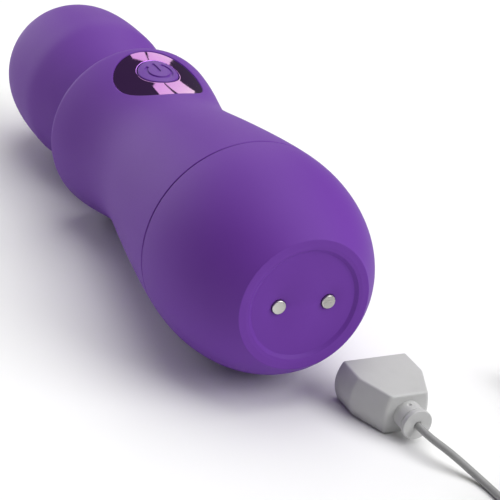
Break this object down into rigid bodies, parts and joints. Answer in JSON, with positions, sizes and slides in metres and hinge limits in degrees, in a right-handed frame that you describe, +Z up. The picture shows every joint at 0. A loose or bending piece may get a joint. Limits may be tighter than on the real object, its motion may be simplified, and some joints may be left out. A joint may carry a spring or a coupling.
{
  "type": "handheld wand massager",
  "caption": "Small rechargeable wand massager with a domed head on a flexible neck, a waisted handle with a round push button, a flat charging end and a magnetic charging lead.",
  "frame": {"origin": "on the table, at the centre of the wand's own bounding box, with the charging lead left out", "axes": "+X along the lying wand from the head to the charging end, +Z up through the power button's side, +Y across to the side where the charging lead lies"},
  "size_m": [0.1999, 0.083, 0.0426],
  "materials": {
    "purple_silicone": "matte, satin-soft moulded silicone",
    "button_silicone": "matte moulded silicone with an engraved mark",
    "trim_plate": "mirror-bright dark purple metallised plate",
    "inner_plastic": "moulded, fine texture",
    "nickel": "nickel plated, satin",
    "steel": "plain machined steel",
    "magnet": "nickel plated magnet",
    "copper_winding": "enamelled windings on a steel stack",
    "brass": "machined brass",
    "bronze": "sintered bronze",
    "circuit_board": "solder-masked board",
    "black_part": "moulded component",
    "battery_wrap": "heat-shrunk sleeve",
    "foam": "closed-cell foam",
    "wire": "thin insulated wire",
    "led": "clear moulded lens",
    "coupler_rubber": "firm black rubber",
    "gasket": "dark elastomer",
    "plug_plastic": "fine-textured moulded plastic",
    "cord_jacket": "soft matte jacket",
    "usb_insert": "moulded insert",
    "gold": "gold flash"
  },
  "bodies": {
    "handle": {"base_cap_skin": "purple_silicone", "base_cap_shell": "inner_plastic", "contact_carrier": "circuit_board", "charging_contacts": "nickel", "base_magnets": "magnet", "seam_gasket": "gasket", "handle_skin": "purple_silicone", "handle_shell_left": "inner_plastic", "handle_shell_right": "inner_plastic", "shell_screws": "steel", "button_trim": "trim_plate", "button_seal": "gasket", "battery_cell": "battery_wrap", "battery_pads": "foam", "battery_cradle": "inner_plastic", "board_tray": "inner_plastic", "control_board": "circuit_board", "control_chip": "black_part", "board_parts": "black_part", "tact_switch": "black_part", "status_led": "led", "charging_leads": "wire", "battery_leads": "wire", "motor_leads": "wire", "neck_anchor": "inner_plastic", "plug_body": "plug_plastic", "plug_pins": "nickel", "plug_magnets": "magnet", "plug_neck": "plug_plastic", "cord_lead": "cord_jacket", "cord_coil": "cord_jacket", "cord_tail": "cord_jacket", "usb_strain_relief": "cord_jacket", "usb_overmould": "plug_plastic", "usb_shell": "nickel", "usb_tongue": "usb_insert", "usb_contacts": "gold"},
    "button": {"power_button": "button_silicone", "switch_plunger": "black_part"},
    "neck_link": {"flex_coupler": "coupler_rubber"},
    "head": {"head_skin": "purple_silicone", "head_core": "inner_plastic", "head_cap": "inner_plastic", "motor_cradle": "inner_plastic", "motor_can": "steel", "motor_end_cap": "black_part", "motor_bushes": "bronze", "motor_magnets": "magnet"},
    "rotor": {"motor_shaft": "steel", "motor_armature": "copper_winding", "motor_commutator": "brass", "eccentric_weight": "brass"}
  },
  "joints": [
    {"name": "button_press", "type": "slide", "parent": "handle", "child": "button", "axis": [-0.1588, 0, -0.9873], "range_m": [0, 0.0005], "stiffness_N_per_m": 1500, "springref_m": -0.0003},
    {"name": "neck_pitch", "type": "hinge", "parent": "handle", "child": "neck_link", "pos_m": [-0.01348, 0, 0.01976], "axis": [0, 1, 0], "range_deg": [-6, 6], "stiffness_Nm_per_rad": 2},
    {"name": "neck_yaw", "type": "hinge", "parent": "neck_link", "child": "head", "pos_m": [-0.02147, 0, 0.01955], "axis": [-0.0255, 0, 0.9997], "range_deg": [-6, 6], "stiffness_Nm_per_rad": 2},
    {"name": "motor_spin", "type": "hinge", "parent": "head", "child": "rotor", "pos_m": [-0.03947, 0, 0.01909], "axis": [0.9997, 0, 0.0255], "continuous": true}
  ]
}
